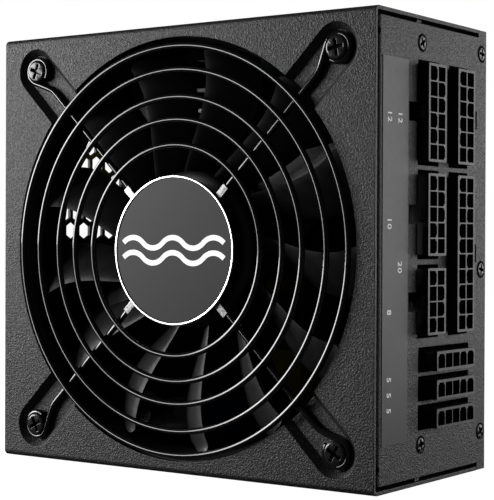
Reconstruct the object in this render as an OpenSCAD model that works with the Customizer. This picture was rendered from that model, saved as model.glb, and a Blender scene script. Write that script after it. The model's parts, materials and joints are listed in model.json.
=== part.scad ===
// Modular power supply unit in the long small-form-factor format.
// X runs along the fan face, Y into the housing, Z up. The origin is the centre of the resting side.

/* [Housing] */
// Length of the housing along X
body_l = 130; // [130:1:134]
// Thickness of the housing along Y, from the fan face to the back plate
body_d = 63.5; // [63.5:0.5:65]
// Height of the housing along Z
body_h = 125; // [125:1:127]
// Thickness of the folded sheet steel
sheet_t = 1.0; // [0.8:0.1:1.0]
// Outer radius of the folds
fold_r = 1.6; // [1.2:0.1:1.8]
// Length of the cover's side flanges
cover_flange = 57; // [54:0.5:57]
// How far the connector panel sits inside the cover's edge
panel_inset = 0.8; // [0.4:0.1:1.0]

/* [Fan] */
// Side of the square fan frame
fan_size = 120; // [120:1:120]
// Thickness of the fan frame
fan_depth = 15; // [15:0.5:16]
// Distance between fan screws along a side
fan_hole_pitch = 105; // [104:0.5:105]
// Radius of the fan's duct
duct_r = 57.5; // [56.5:0.5:57.5]
// Number of fan blades
blade_count = 13; // [7:2:15]
// Radius of the rotor at the blade tips
blade_tip_r = 57; // [54:0.1:57]
// Radius of the rotor hub
hub_r = 22; // [21.5:0.1:22]
// Radius of the fan shaft
shaft_r = 1.5; // [1.5:0.1:1.5]

/* [Grille] */
// Radius of the round opening in the fan face
opening_r = 59; // [58.5:0.1:59.5]
// Radius of the wire
wire_r = 0.85; // [0.7:0.05:0.85]
// Depth of the pressed channels that hold the wire legs
channel_depth = 2; // [2:0.1:2]
// Radius of the round badge
badge_r = 20.9; // [20:0.1:21.1]
// Width of the badge's bright rim
badge_rim_w = 0.7; // [0.5:0.05:1.1]

/* [Connectors] */
// Distance between two contacts of a socket
contact_pitch = 4.2; // [4.2:0.1:4.2]
// Width of a two-row socket
socket_w = 10; // [10:0.1:10.4]
// How far the sockets stand out of the panel
socket_proud = 2.7; // [2:0.1:3]
// Opening of one contact cell
cell_w = 3.85; // [3.5:0.05:3.85]

/* [Mounting] */
// Distance between the tapped mounting holes along Z
mount_z = 113; // [113:1:113]
// Distance between the tapped mounting holes along Y
mount_y = 51.5; // [51.5:0.5:51.5]
// Radius of the tapped mounting holes
mount_r = 1.4; // [1.3:0.05:1.5]

/* [Hidden] */
$fn = 96;
gap = 0.05;
eps = 0.01;
half_l = body_l / 2;
half_d = body_d / 2;
mid_z = body_h / 2;
panel_x = half_l - panel_inset;
fold_in = fold_r - sheet_t;
front_groove = 0.8;
edge_gap = 1.1;
cover_inset = 0.65;
front_y = -half_d + sheet_t + front_groove;
fold_back = 5;
lip_len = 6;
tab_len = 10.2;
tab_w = 12;
tab_gap = 0.05;
tab_neck_w = 2.5;
tab_screw = 7.1;
panel_tab_y = 24.6;
ac_tab_x = 15;
tap_r = 1.5;
clear_r = 1.6;
sink_r = 2.5;
head_r = 2.15;
sink_deep = 0.95;
bracket_x = 59.4;
bracket_z = [118.4, 57, 10.8];
bracket_edge = 56.8;
notch_r = 1.25;
notch_x = 1.7;
notch_z = [6.4, 118.7];
strip_x = 3.9;
strip_w = 13.2;
strip_z = 12.3;
strip_h = 100.4;
label_t = 0.12;

// Cells of the sockets: the row pattern says which cell of a row has the cut corners (0 left, 1 right).
// Sockets in the second column are turned half round and have the opposite pattern.
socket_len = 5.2;
column_pitch = 4.4;
column_x = [28.55, 45.3];
socket_12 = [[0, 99.3], [1, 99.3]];
socket_10 = [0, 72.1];
socket_8 = [0, 48.9];
socket_20 = [1, 61.6];
key_rows = [0, 1, 1, 0, 0, 1, 1, 0, 0, 1];
drive_z = [33.3, 25.6, 17.9];
drive_x = 39.75;
drive_h = 5.3;
drive_drop = 0.55;
drive_cuts = [1, 0, 0, 1, 1];
slot_h = 6.6;
slot_x0 = 23.1;
slot_x1 = 51.9;
opening_side = [22.4, 34, 39.7, 50.8];
opening_end = 0.9;
latch_w = 5;
latch_x = [17.7, 56.5];
corner_cut = 0.85;
board_t = 1.6;
modular_x = 51;
socket_floor = 3.4;
socket_back = panel_x - modular_x - board_t - gap;
pin_w = 1.1;
pin_hole = 1.24;
pin_tail = 2.2;
pin_top = 1.6;

fan_front = channel_depth + sheet_t + gap;
fan_back = fan_front + fan_depth;
hole_xy = fan_hole_pitch / 2;
screw_reach = hole_xy * sqrt(2);
channel_top_r = 6.65;
channel_floor_r = 4.75;
channel_wall = 0.45;
leg_z = -channel_depth + wire_r + 0.03;
ring_z = leg_z + 2 * wire_r + 0.03;
ring_r = [56.8, 50.2, 42.65, 36.35, 29.3];
grille_y = -0.33;
leg_start_r = 12;
badge_back = leg_z + wire_r + 0.04;
badge_step = badge_back + 0.4;
badge_top = 0.5;
wave_r = 5;
wave_half_turn = 44.8;
wave_w = 1.5;
leg_bend_r = 66;
hook_r = 3.6;
hook_turn = 285;
screw_r = 2.2;
screw_head_r = 3.26;
screw_rim_h = 0.12;
screw_crown_h = 0.3;
screw_turns = [55, 24, 72, 15];
bend_swell = 1.1;
joint_swell = 1.03;
hub_front = 5;
hub_back = 15.2;
hub_wall = 1.2;
base_t = 2;
stator_r = 18.2;
magnet_in_r = 18.7;
tube_r = 4.2;
sleeve_r = 2.5;
blade_t = 1.2;
blade_front = 5.2;
blade_back = 15.3;
blade_curve_r = 17;
blade_centre = [8.6, -22];
blade_tail = 12;
blade_lead = 6.3;

inlet_y = 3;
inlet_z = 24;
switch_z = 51;
inlet_body = [19.6, 27];
inlet_flange = [22.5, 30.7];
inlet_hole = [16.4, 24.4];
inlet_depth = 17.5;
inlet_floor = 15.5;
flange_t = 2.4;
switch_body = [12.8, 19];
switch_flange = [15, 21];
switch_hole = [11, 16.6];
switch_depth = 14;
switch_floor = 8;
switch_lip = 2;
rocker_w = 10.7;
rocker_half = 7.3;
rocker_pivot = -1.5;
rocker_tilt = 10;
rocker_pin_r = 1;
hex_r = 2.85;
hex_pitch = 6.2;
hex_z0 = 68;
hex_rows = 8;
hex_cols = 8;

board_y = 24.15;
board_x0 = -61;
board_x1 = 50;
board_z0 = 3;
board_z1 = 122;
standoff_x = [-55, 43];
standoff_z = [8, 117];
standoff_r = 3;
sheet_gap = 3;
bulk_r = 14.5;
bulk_h = 32;
bulk_x = -30;
bulk_z = [104, 72];
out_cap_r = 4;
out_cap_h = 16;

// Frames: z points out of the face, x and y lie in it.
module face_frame() { translate([0, -half_d, mid_z]) rotate([90, 0, 0]) children(); }
module panel_frame() { translate([panel_x, -half_d, 0]) rotate([90, 0, 90]) children(); }
module ac_frame() { translate([-half_l, 0, 0]) rotate([90, 0, -90]) children(); }
module board_frame() { translate([0, board_y, 0]) rotate([90, 0, 0]) children(); }

module rounded_rect(x0, y0, x1, y1, r) {
    translate([x0 + r, y0]) square([x1 - x0 - 2 * r, y1 - y0]);
    translate([x0, y0 + r]) square([x1 - x0, y1 - y0 - 2 * r]);
    for (x = [x0 + r, x1 - r], y = [y0 + r, y1 - r]) translate([x, y]) circle(r);
}

module centred_plate(size, z0, z1, r = 1) {
    translate([0, 0, z0]) linear_extrude(z1 - z0)
        rounded_rect(-size[0] / 2, -size[1] / 2, size[0] / 2, size[1] / 2, r);
}

module tube(outer_r, inner_r, z0, z1) {
    translate([0, 0, z0]) difference() {
        cylinder(r = outer_r, h = z1 - z0);
        translate([0, 0, -1]) cylinder(r = inner_r, h = z1 - z0 + 2);
    }
}

module cross_recess(arm, wide, deep) {
    for (a = [0, 90]) rotate([0, 0, a]) translate([-arm, -wide / 2, -deep]) cube([2 * arm, wide, deep + 1]);
}

// A wire from point to point. The ball at each bend is a little thicker than the wire.
module wire(points, r) {
    for (i = [0 : len(points) - 2]) {
        step = points[i + 1] - points[i];
        run = norm(step);
        translate(points[i]) rotate([0, acos(step[2] / run), atan2(step[1], step[0])])
            cylinder(r = r, h = run);
        if (i > 0) translate(points[i]) sphere(r * bend_swell);
    }
}

// Cover: fan face with a side flange folded back at top and bottom.
module cover_profile() {
    difference() {
        intersection() {
            rounded_rect(0, 0, body_d + 20, body_h, fold_r);
            square([cover_flange, body_h]);
        }
        rounded_rect(sheet_t, sheet_t, body_d + 30, body_h - sheet_t, fold_in);
    }
}

// A pressed channel from the fan opening to a screw, rounded at the screw and open at the fan.
module channel(top_r, floor_r, deep) {
    translate([screw_reach, 0, -deep]) cylinder(r1 = floor_r, r2 = top_r, h = deep);
    translate([opening_r - 6, 0, 0]) rotate([90, 0, 90]) linear_extrude(screw_reach - opening_r + 6)
        polygon([[-top_r, 0], [-floor_r, -deep], [floor_r, -deep], [top_r, 0]]);
}

module four_corners() { for (a = [45 : 90 : 315]) rotate([0, 0, a]) children(); }

// A tab bent down behind the panel for its screw, on a narrow neck where it leaves the flange.
module cover_tab(x0, y0, y1) {
    neck = edge_gap + 0.3;
    for (z = [sheet_t + neck - eps, body_h - sheet_t - tab_len + eps])
        translate([x0, y0, z]) cube([sheet_t, y1 - y0, tab_len - neck]);
    for (z = [sheet_t - eps, body_h - sheet_t - neck - eps])
        translate([x0, (y0 + y1 - tab_neck_w) / 2, z]) cube([sheet_t, tab_neck_w, neck + 2 * eps]);
}

module cover() {
    color([0.09, 0.09, 0.10]) difference() {
        union() {
            translate([-half_l, -half_d, 0]) rotate([90, 0, 90]) linear_extrude(body_l - cover_inset)
                cover_profile();
            face_frame() four_corners()
                channel(channel_top_r + channel_wall, channel_floor_r + channel_wall,
                    channel_depth + sheet_t);
            cover_tab(panel_x - 2 * sheet_t - tab_gap, -half_d + panel_tab_y - tab_w / 2,
                -half_d + panel_tab_y + tab_w / 2);
            cover_tab(-half_l + sheet_t + tab_gap, -ac_tab_x - tab_w / 2, -ac_tab_x + tab_w / 2);
        }
        face_frame() {
            translate([0, 0, -10]) cylinder(r = opening_r, h = 20);
            four_corners() {
                translate([0, 0, eps]) channel(channel_top_r, channel_floor_r, channel_depth + eps);
                translate([screw_reach, 0, -5]) cylinder(r = 2.5, h = 5);
            }
        }
        for (z = [tab_screw + 3.5, body_h - tab_screw]) {
            panel_frame() translate([panel_tab_y, z, -5]) cylinder(r = tap_r, h = 5);
            ac_frame() translate([ac_tab_x, z, -5]) cylinder(r = tap_r, h = 5);
        }
    }
}

// Base: back plate with the connector panel and the mains side folded up, and two short lips.
module base_outline(inset, z0, z1) {
    translate([0, 0, z0]) linear_extrude(z1 - z0)
        rounded_rect(-half_l + inset, front_y + inset, panel_x - inset, half_d - inset, fold_r - inset);
}

module back_outline(inset) {
    translate([-half_l, 0, 0]) rotate([90, 0, 90]) linear_extrude(body_l)
        rounded_rect(-body_d, inset, half_d - inset, body_h - inset, fold_r - inset);
}

module socket_opening(column, centre, ways) {
    half = (socket_len + contact_pitch * (ways - 1)) / 2 + opening_end;
    x0 = opening_side[2 * column];
    x1 = opening_side[2 * column + 1];
    translate([x0, centre - half, -5]) cube([x1 - x0, 2 * half, 10]);
    latch_x0 = column == 0 ? latch_x[0] : x0 + 1;
    latch_x1 = column == 0 ? x1 - 1 : latch_x[1];
    translate([latch_x0, centre - latch_w / 2, -5]) cube([latch_x1 - latch_x0, latch_w, 10]);
}

module panel_cuts() {
    for (s = socket_12) socket_opening(s[0], s[1], 6);
    socket_opening(socket_10[0], socket_10[1], 5);
    socket_opening(socket_8[0], socket_8[1], 4);
    socket_opening(socket_20[0], socket_20[1], 10);
    for (z = drive_z) translate([slot_x0, z - slot_h / 2, -5]) cube([slot_x1 - slot_x0, slot_h, 10]);
    for (z = [tab_screw + 3.5, body_h - tab_screw]) translate([panel_tab_y, z, 0]) countersink();
    for (z = bracket_z) translate([bracket_x, z, 0]) countersink();
    for (z = notch_z) translate([notch_x, z, -3]) cylinder(r = notch_r, h = 5);
}

module countersink() {
    translate([0, 0, -3]) cylinder(r = clear_r, h = 5);
    translate([0, 0, -sink_deep]) cylinder(r1 = clear_r, r2 = sink_r, h = sink_deep);
    cylinder(r = sink_r, h = 1);
}

module ac_cuts() {
    translate([-inlet_y, inlet_z, 0]) centred_plate(inlet_body + [0.2, 0.2], -5, 5, 0.8);
    translate([-inlet_y, switch_z, 0]) centred_plate(switch_body + [0.2, 0.2], -5, 5, 0.8);
    for (z = [tab_screw + 3.5, body_h - tab_screw]) translate([ac_tab_x, z, 0]) countersink();
    for (row = [0 : hex_rows - 1], col = [0 : hex_cols - 1 - row % 2])
        translate([(col + (row % 2) / 2 - (hex_cols - 1) / 2) * hex_pitch,
            hex_z0 + row * hex_pitch * sin(60), -5])
            rotate([0, 0, 30]) cylinder(r = hex_r, h = 10, $fn = 6);
}

module mount_holes(r, z0, z1) {
    for (x = [-1, 1], z = [-1, 1])
        translate([x * mount_y / 2, mid_z + z * mount_z / 2, z0]) cylinder(r = r, h = z1 - z0);
}

module base() {
    lip_y = half_d - lip_len;
    color([0.10, 0.10, 0.11]) difference() {
        union() {
            difference() {
                intersection() {
                    base_outline(0, 0, body_h);
                    back_outline(0);
                }
                base_outline(sheet_t, -1, body_h + 1);
                for (z = [-5, body_h - sheet_t - edge_gap]) translate([-body_l, -body_d, z])
                    cube([2 * body_l, body_d + lip_y, 5 + sheet_t + edge_gap]);
                translate([-half_l + fold_back, -body_d, -1])
                    cube([panel_x + half_l - 2 * fold_back, body_d, body_h + 2]);
            }
            intersection() {
                base_outline(0, 0, body_h);
                difference() {
                    back_outline(0);
                    back_outline(sheet_t);
                    translate([-body_l, -body_d, -1]) cube([2 * body_l, body_d + lip_y, body_h + 2]);
                }
            }
            ac_frame() mount_holes(mount_r + 1.4, -sheet_t - 2, -sheet_t + eps);
        }
        ac_frame() mount_holes(mount_r, -10, 1);
        panel_frame() panel_cuts();
        ac_frame() ac_cuts();
    }
}

module label_strip() {
    color([0.13, 0.13, 0.14]) panel_frame()
        translate([strip_x, strip_z, 0.02]) cube([strip_w, strip_h, label_t]);
}

module rating_label() {
    color([0.16, 0.16, 0.17]) translate([-42, half_d + 0.02, 24]) cube([84, label_t, 78]);
}

module sunk_screw(length, turn) {
    difference() {
        union() {
            translate([0, 0, -sink_deep]) cylinder(r1 = tap_r - gap, r2 = head_r, h = sink_deep - 0.1);
            translate([0, 0, -0.1]) cylinder(r1 = head_r, r2 = head_r - 0.45, h = 0.3);
            translate([0, 0, -length]) cylinder(r = tap_r - gap, h = length - sink_deep + eps);
        }
        translate([0, 0, 0.2]) rotate([0, 0, turn]) cross_recess(1.5, 0.75, 0.9);
    }
}

module cover_screws() {
    color([0.15, 0.15, 0.16]) for (z = [tab_screw + 3.5, body_h - tab_screw]) {
        panel_frame() translate([panel_tab_y, z, 0]) sunk_screw(4.5, z);
        ac_frame() translate([ac_tab_x, z, 0]) sunk_screw(4.2, 2 * z);
    }
}

module bracket_screws() {
    color([0.15, 0.15, 0.16]) panel_frame() for (z = bracket_z) translate([bracket_x, z, 0])
        sunk_screw(4.5, 3 * z);
}

// Folded strip behind the panel that carries the lower edge of the modular board.
module board_bracket() {
    strip_y = -half_d + bracket_edge;
    foot_y = half_d - sheet_t - 1.2;
    color([0.6, 0.6, 0.62]) difference() {
        intersection() {
            union() {
                translate([panel_x - 2 * sheet_t - tab_gap, strip_y, 5])
                    cube([sheet_t, foot_y + sheet_t - strip_y, 115]);
                translate([48, foot_y, 5]) cube([panel_x - sheet_t - tab_gap - 48, sheet_t, 115]);
            }
            base_outline(sheet_t + gap, 0, body_h);
        }
        panel_frame() for (z = bracket_z) translate([bracket_x, z, -5]) cylinder(r = tap_r, h = 5);
    }
}

// Grille: round wire rings welded on the front of four legs that hook round the fan screws.
// The rings and the badge hang a little below the fan's axis.
module grille_frame() {
    face_frame() translate([0, grille_y, 0]) children();
}

module grille_rings() {
    color([0.05, 0.05, 0.05]) grille_frame() for (r = ring_r)
        translate([0, 0, ring_z]) rotate_extrude() translate([r, 0]) circle(wire_r);
}

module grille_leg() {
    reach = screw_reach - leg_bend_r;
    lean = asin(hook_r / reach);
    straight = reach * cos(lean);
    translate([leg_start_r, 0, 0]) rotate([0, 90, 0]) cylinder(r = wire_r, h = leg_bend_r - leg_start_r);
    translate([leg_bend_r, 0, 0]) {
        sphere(wire_r * joint_swell);
        rotate([0, 90, lean]) cylinder(r = wire_r, h = straight - eps);
    }
    translate([screw_reach, 0, 0]) rotate([0, 0, 90 + lean]) {
        rotate([0, 0, -hook_turn]) rotate_extrude(angle = hook_turn - 0.5) translate([hook_r, 0])
            circle(wire_r);
        for (a = [0, -hook_turn]) rotate([0, 0, a]) translate([hook_r, 0, 0]) sphere(wire_r * joint_swell);
    }
}

module grille_legs() {
    color([0.05, 0.05, 0.05]) face_frame() translate([0, 0, leg_z]) four_corners() grille_leg();
}

module badge_base() {
    color([0.08, 0.08, 0.08]) grille_frame() {
        translate([0, 0, badge_back]) cylinder(r = badge_r - 3, h = badge_step - badge_back);
        translate([0, 0, badge_step]) cylinder(r = badge_r, h = badge_top - badge_step);
    }
}

module badge_rim() {
    color([0.85, 0.86, 0.87]) grille_frame()
        tube(badge_r, badge_r - badge_rim_w, badge_top + 0.02, badge_top + 0.5);
}

module badge_face() {
    color([0.5, 0.5, 0.5]) grille_frame()
        translate([0, 0, badge_top + 0.02]) cylinder(r = badge_r - badge_rim_w - gap, h = 0.28);
}

// Two wavy lines, a plain sign for moving air. Each is a row of arcs, turned over one after the other.
module wave(count) {
    half_w = wave_r * sin(45);
    for (i = [0 : count - 1]) translate([(2 * i - count + 1) * half_w, 0]) {
        side = i % 2 == 0 ? 1 : -1;
        translate([0, -side * wave_r * cos(45)]) intersection() {
            difference() {
                circle(wave_r + wave_w / 2);
                circle(wave_r - wave_w / 2);
            }
            polygon([[0, 0], [2 * wave_r * sin(wave_half_turn), side * 2 * wave_r * cos(wave_half_turn)],
                [-2 * wave_r * sin(wave_half_turn), side * 2 * wave_r * cos(wave_half_turn)]]);
        }
    }
}

module badge_emblem() {
    color([0.95, 0.95, 0.95]) grille_frame() translate([0, 0, badge_top + 0.32]) linear_extrude(0.12)
        for (y = [-2.1, 2.1]) translate([0, y]) wave(5);
}

module badge_tabs() {
    color([0.7, 0.7, 0.7]) grille_frame() four_corners()
        translate([badge_r - 2.95, -1, badge_back]) cube([6.9, 2, 0.35]);
}

// Fan
module fan_frame() {
    side = fan_size / 2;
    color([0.06, 0.06, 0.06]) face_frame() {
        difference() {
            translate([0, 0, -fan_back]) linear_extrude(fan_depth) rounded_rect(-side, -side, side, side, 5);
            translate([0, 0, -fan_back - 1]) cylinder(r = duct_r, h = fan_depth + 2);
            translate([0, 0, -fan_front - 3]) cylinder(r1 = duct_r, r2 = duct_r + 1.5, h = 3 + eps);
            four_corners() translate([screw_reach, 0, -fan_back - 1]) cylinder(r = 2.25, h = fan_depth + 2);
        }
        difference() {
            union() {
                translate([0, 0, -fan_back]) cylinder(r = hub_r - 1, h = base_t);
                for (a = [30 : 90 : 300]) rotate([0, 0, a]) translate([hub_r - 3, -2.5, -fan_back])
                    cube([duct_r - hub_r + 4, 5, base_t]);
                translate([0, 0, -fan_back]) cylinder(r = tube_r, h = 9.5);
            }
            translate([0, 0, -fan_back + base_t]) cylinder(r = sleeve_r + 0.03, h = 10);
        }
    }
}

// Raised countersunk screws: the cone of the head presses the hooks of the legs down.
module fan_screws() {
    cone_z = leg_z - 0.11;
    cone_h = screw_head_r - screw_r;
    color([0.1, 0.1, 0.1]) face_frame() for (i = [0 : 3]) rotate([0, 0, 45 + 90 * i])
        translate([screw_reach, 0, 0])
        difference() {
            union() {
                translate([0, 0, -12]) cylinder(r = screw_r, h = 12 + cone_z);
                translate([0, 0, cone_z]) cylinder(r1 = screw_r, r2 = screw_head_r, h = cone_h);
                translate([0, 0, cone_z + cone_h]) cylinder(r = screw_head_r, h = screw_rim_h);
                translate([0, 0, cone_z + cone_h + screw_rim_h])
                    cylinder(r1 = screw_head_r, r2 = screw_head_r - 0.56, h = screw_crown_h);
            }
            translate([0, 0, cone_z + cone_h + screw_rim_h + screw_crown_h])
                rotate([0, 0, screw_turns[i]]) cross_recess(2.25, 0.9, 1.2);
        }
}

// One curved blade: a slice of a thin tube that lies along the radius.
module blade() {
    intersection() {
        rotate([0, 90, 0]) translate([-blade_centre[1], blade_centre[0], hub_r / 2])
            tube(blade_curve_r, blade_curve_r - blade_t, 0, blade_tip_r);
        tube(blade_tip_r, hub_r - hub_wall / 2, -blade_back, -blade_front);
        translate([0, -blade_tail, -blade_back]) cube([blade_tip_r, blade_tail + blade_lead, blade_back]);
    }
}

module fan_rotor() {
    color([0.05, 0.05, 0.05]) face_frame() {
        difference() {
            translate([0, 0, -hub_back]) cylinder(r = hub_r, h = hub_back - hub_front);
            translate([0, 0, -hub_back - 1]) cylinder(r = hub_r - hub_wall, h = hub_back - hub_front - 0.5);
        }
        difference() {
            translate([0, 0, -hub_front - 3.2]) cylinder(r = 4, h = 2);
            translate([0, 0, -hub_front - 4]) cylinder(r = shaft_r + 0.02, h = 2.4);
        }
        for (i = [0 : blade_count - 1]) rotate([0, 0, i * 360 / blade_count]) blade();
    }
}

module rotor_magnet() {
    color([0.2, 0.2, 0.2]) face_frame()
        tube(hub_r - hub_wall - gap, magnet_in_r, -hub_back + 0.4, -hub_front - 2.2);
}

module fan_shaft() {
    color([0.8, 0.8, 0.8]) face_frame()
        translate([0, 0, -fan_back + base_t + 0.2])
            cylinder(r = shaft_r, h = fan_back - base_t - hub_front - 2);
}

module fan_bearing() {
    color([0.7, 0.55, 0.3]) face_frame()
        tube(sleeve_r, shaft_r + 0.04, -fan_back + base_t + gap, -fan_back + 9.3);
}

module fan_stator() {
    color([0.45, 0.45, 0.47]) face_frame() difference() {
        union() {
            tube(8, tube_r + gap, -13.9, -9.6);
            for (a = [0 : 90 : 270]) rotate([0, 0, a]) {
                translate([7, -1.8, -13.9]) cube([8.6, 3.6, 4.3]);
                intersection() {
                    tube(stator_r, 15.2, -13.9, -9.6);
                    translate([10, -10.5, -14]) cube([10, 21, 5]);
                }
            }
        }
        translate([0, 0, -20]) cylinder(r = tube_r + gap, h = 20);
    }
}

module fan_coils() {
    color([0.75, 0.4, 0.2]) face_frame() for (a = [0 : 90 : 270]) rotate([0, 0, a]) difference() {
        translate([9.2, -3.8, -14.6]) cube([5.2, 7.6, 5.7]);
        translate([9, -1.85, -13.95]) cube([6, 3.7, 4.4]);
    }
}

module fan_driver_board() {
    color([0.1, 0.35, 0.2]) face_frame()
        tube(17, tube_r + gap, -fan_back + base_t + gap, -fan_back + base_t + 1.1);
}

module fan_cable() {
    color([0.75, 0.75, 0.72]) face_frame() for (s = [0, 1]) translate([s * 1.4, -s * 1.6, 0])
        wire([[8, 12, -19.2], [30, 49.5, -19.2], [30, 49.5, -55.8]], 0.6);
}

// Mains inlet and rocker switch on the short side.
module inlet_outline(inset) {
    w = inlet_hole[0] / 2 - inset;
    h = inlet_hole[1] / 2 - inset;
    cut = 4.6;
    polygon([[-w, -h], [w - cut, -h], [w, -h + cut], [w, h - cut], [w - cut, h], [-w, h]]);
}

module inlet_place() { ac_frame() translate([-inlet_y, inlet_z, 0]) children(); }
module switch_place() { ac_frame() translate([-inlet_y, switch_z, 0]) children(); }

module contact_places() {
    for (p = [[-2, -7], [2, 0], [-2, 7]]) translate(p) children();
}

module inlet_body() {
    color([0.05, 0.05, 0.05]) inlet_place() difference() {
        union() {
            centred_plate(inlet_flange, 0.03, flange_t, 2);
            centred_plate(inlet_body, -inlet_depth, 0.1, 0.8);
        }
        translate([0, 0, -inlet_floor]) linear_extrude(30) inlet_outline(0);
        contact_places() translate([-1.05, -2.05, -30]) cube([2.1, 4.1, 40]);
    }
}

module inlet_pins() {
    color([0.8, 0.8, 0.78]) inlet_place() contact_places() translate([-1, -2, -inlet_depth - 7])
        cube([2, 4, inlet_depth + 5]);
}

module switch_body() {
    color([0.05, 0.05, 0.05]) switch_place() difference() {
        union() {
            centred_plate(switch_flange, 0.03, switch_lip, 1.5);
            centred_plate(switch_body, -switch_depth, 0.1, 0.8);
        }
        centred_plate(switch_hole, -switch_floor, 5, 0.5);
        translate([-6.35, 0, rocker_pivot]) rotate([0, 90, 0]) cylinder(r = rocker_pin_r + gap, h = 12.7);
        for (y = [-5, 0, 5]) translate([-2.05, y - 0.45, -20]) cube([4.1, 0.9, 20]);
    }
}

module switch_rocker() {
    color([0.07, 0.07, 0.07]) switch_place() translate([0, 0, rocker_pivot]) {
        rotate([-rocker_tilt, 0, 0]) translate([-rocker_w / 2, 0, 0]) rotate([90, 0, 90])
            linear_extrude(rocker_w) {
            difference() {
                polygon([[-rocker_half, 0.4], [-2, -1], [2, -1], [rocker_half, 0.4], [rocker_half, 3.5],
                    [-rocker_half, 3.5]]);
                translate([0, 24]) circle(21.9);
            }
            circle(3);
        }
        translate([-6.2, 0, 0]) rotate([0, 90, 0]) cylinder(r = rocker_pin_r, h = 12.4);
    }
}

module switch_terminals() {
    color([0.8, 0.8, 0.78]) switch_place() for (y = [-5, 0, 5]) translate([-2, y - 0.4, -21])
        cube([4, 0.8, 21 - switch_floor - 1]);
}

// Sockets: a shroud with one cell for each contact. Cells with cut corners key the plug.
module cell(cut) {
    h = cell_w / 2;
    c = cut ? corner_cut : 0;
    if (cut) polygon([[-h, -h], [h - c, -h], [h, -h + c], [h, h - c], [h - c, h], [-h, h]]);
    else square(cell_w, center = true);
}

module two_row_cells(ways, first) {
    for (row = [0 : ways - 1], side = [0, 1])
        translate([(side - 0.5) * column_pitch, ((ways - 1) / 2 - row) * contact_pitch])
            cell((key_rows[row] + first) % 2 == side);
}

module two_row_pins(ways, size) {
    for (row = [0 : ways - 1], side = [0, 1])
        translate([(side - 0.5) * column_pitch, ((ways - 1) / 2 - row) * contact_pitch])
            square(size, center = true);
}

module two_row_socket(column, centre, ways) {
    half = (socket_len + contact_pitch * (ways - 1)) / 2;
    facing = column == 0 ? 0 : 1;
    panel_frame() translate([column_x[column], centre, 0]) mirror([facing, 0, 0]) {
        translate([0, 0, -socket_back]) linear_extrude(socket_floor) difference() {
            rounded_rect(-socket_w / 2, -half, socket_w / 2, half, 0.4);
            two_row_pins(ways, pin_hole);
        }
        translate([0, 0, -socket_back + socket_floor])
            linear_extrude(socket_back + socket_proud - socket_floor)
            difference() {
                rounded_rect(-socket_w / 2, -half, socket_w / 2, half, 0.4);
                two_row_cells(ways, facing);
            }
        translate([-socket_w / 2 - 0.8, 0, -1.5]) rotate([90, 0, 0]) linear_extrude(3.6, center = true)
            polygon([[0, 0], [0, 2.4], [1, 3.4], [1, -1]]);
    }
}

module drive_places() { for (z = drive_z) translate([drive_x, z - drive_drop, 0]) children(); }

module drive_cells() {
    for (i = [0 : 4]) translate([(i - 2) * contact_pitch, 0]) rotate([0, 0, 90]) cell(drive_cuts[i] == 1);
}

module drive_pins(size) {
    for (i = [0 : 4]) translate([(i - 2) * contact_pitch, 0]) square(size, center = true);
}

module drive_sockets() {
    half = (socket_len + 4 * contact_pitch) / 2;
    color([0.06, 0.06, 0.06]) panel_frame() drive_places() {
        translate([0, 0, -socket_back]) linear_extrude(socket_floor) difference() {
            rounded_rect(-half, -drive_h / 2, half, drive_h / 2, 0.4);
            drive_pins(pin_hole);
        }
        translate([0, 0, -socket_back + socket_floor])
            linear_extrude(socket_back + socket_proud - socket_floor)
            difference() {
                rounded_rect(-half, -drive_h / 2, half, drive_h / 2, 0.4);
                drive_cells();
            }
    }
}

module all_pins(size) {
    for (s = socket_12) translate([column_x[s[0]], s[1]]) two_row_pins(6, size);
    translate([column_x[socket_10[0]], socket_10[1]]) two_row_pins(5, size);
    translate([column_x[socket_8[0]], socket_8[1]]) two_row_pins(4, size);
    translate([column_x[socket_20[0]], socket_20[1]]) two_row_pins(10, size);
    drive_places() drive_pins(size);
}

module socket_12_way() { color([0.06, 0.06, 0.06]) for (s = socket_12) two_row_socket(s[0], s[1], 6); }
module socket_10_way() { color([0.06, 0.06, 0.06]) two_row_socket(socket_10[0], socket_10[1], 5); }
module socket_8_way() { color([0.06, 0.06, 0.06]) two_row_socket(socket_8[0], socket_8[1], 4); }
module socket_20_way() { color([0.06, 0.06, 0.06]) two_row_socket(socket_20[0], socket_20[1], 10); }

module socket_pins() {
    color([0.75, 0.72, 0.6]) panel_frame() translate([0, 0, -socket_back - board_t - pin_tail])
        linear_extrude(socket_back + board_t + pin_tail - pin_top) all_pins(pin_w);
}

module modular_board() {
    color([0.08, 0.3, 0.18]) panel_frame() translate([0, 0, modular_x - panel_x]) linear_extrude(board_t)
        difference() {
        translate([19, 8]) square([41.9, 109]);
        all_pins(pin_hole);
    }
}

module bus_bars() {
    color([0.8, 0.5, 0.3]) for (z = [50, 62, 74]) translate([45, 17.2, z]) cube([5.9, board_y - 17.25, 1.5]);
}

// Main board and the pieces on it. In the board frame z is the height above the board.
module main_board() {
    color([0.08, 0.3, 0.18]) difference() {
        translate([board_x0, board_y, board_z0]) cube([board_x1 - board_x0, board_t, board_z1 - board_z0]);
        board_frame() standoff_places() translate([0, 0, -5]) cylinder(r = clear_r, h = 10);
    }
}

module standoff_places() { for (x = standoff_x, z = standoff_z) translate([x, z, 0]) children(); }

module standoffs() {
    bottom = board_y + board_t - half_d + sheet_t;
    color([0.75, 0.65, 0.3]) board_frame() standoff_places() difference() {
        translate([0, 0, -board_t + bottom + gap]) cylinder(r = standoff_r, h = -bottom - 2 * gap, $fn = 6);
        translate([0, 0, -board_t - 4]) cylinder(r = tap_r, h = 5);
    }
}

module board_screws() {
    color([0.7, 0.7, 0.7]) board_frame() standoff_places() difference() {
        union() {
            translate([0, 0, gap]) cylinder(r = 2.8, h = 1.8);
            translate([0, 0, -board_t - 3.5]) cylinder(r = tap_r - gap, h = board_t + 3.6);
        }
        translate([0, 0, 1.9]) cross_recess(1.6, 0.6, 1.1);
    }
}

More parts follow.
